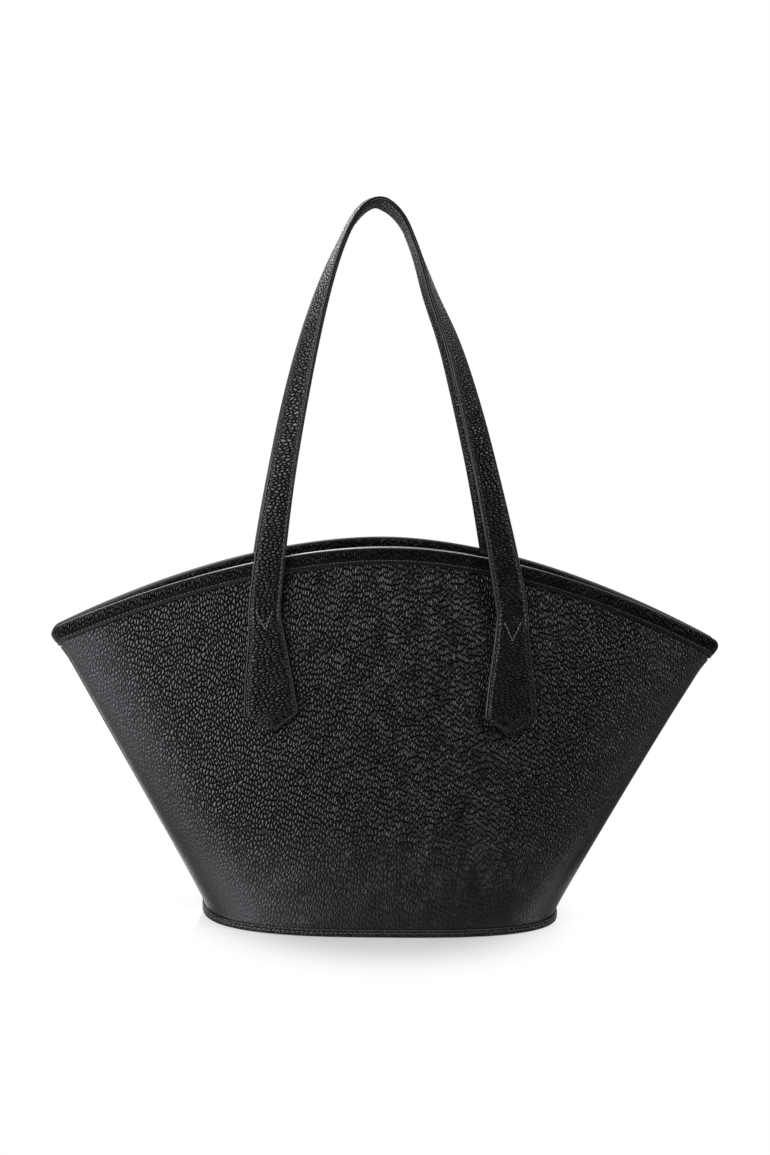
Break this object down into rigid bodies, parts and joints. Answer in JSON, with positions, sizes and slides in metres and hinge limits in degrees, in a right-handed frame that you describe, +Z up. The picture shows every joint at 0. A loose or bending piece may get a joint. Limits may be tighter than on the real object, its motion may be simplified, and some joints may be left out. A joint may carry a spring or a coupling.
{
  "type": "tote bag",
  "caption": "Fan-shaped open-top leather tote bag with an arched bound rim, oval flat base and tall shoulder handles that swing.",
  "frame": {"origin": "middle of the base, on the surface that the bag stands on", "axes": "+Z up, -Y out of the front panel, +X to the right when the front panel is looked at"},
  "size_m": [0.483, 0.1366, 0.5144],
  "materials": {
    "pebbled_leather": "satin",
    "smooth_leather": "satin",
    "fibre_board": "matt",
    "twill_lining": "matt",
    "gunmetal": "satin"
  },
  "bodies": {
    "bag": {"front_panel": "pebbled_leather", "back_panel": "pebbled_leather", "base_panel": "pebbled_leather", "base_binding": "pebbled_leather", "front_rim_binding": "pebbled_leather", "back_rim_binding": "pebbled_leather", "left_side_piping": "smooth_leather", "right_side_piping": "smooth_leather", "front_left_tab": "pebbled_leather", "front_right_tab": "pebbled_leather", "back_left_tab": "pebbled_leather", "back_right_tab": "pebbled_leather", "front_stiffener": "fibre_board", "back_stiffener": "fibre_board", "base_board": "fibre_board", "front_lining": "twill_lining", "back_lining": "twill_lining", "base_lining": "twill_lining", "snap_socket": "gunmetal", "snap_stud": "gunmetal"},
    "front_handle": {"front_handle_strap": "pebbled_leather", "front_handle_backing": "pebbled_leather"},
    "back_handle": {"back_handle_strap": "pebbled_leather", "back_handle_backing": "pebbled_leather"}
  },
  "joints": [
    {"name": "front_handle_swing", "type": "hinge", "parent": "bag", "child": "front_handle", "pos_m": [0, -0.03533, 0.2235], "axis": [1, 0, 0], "range_deg": [0, 140]},
    {"name": "back_handle_swing", "type": "hinge", "parent": "bag", "child": "back_handle", "pos_m": [0, 0.0352, 0.2235], "axis": [-1, 0, 0], "range_deg": [0, 140]}
  ]
}
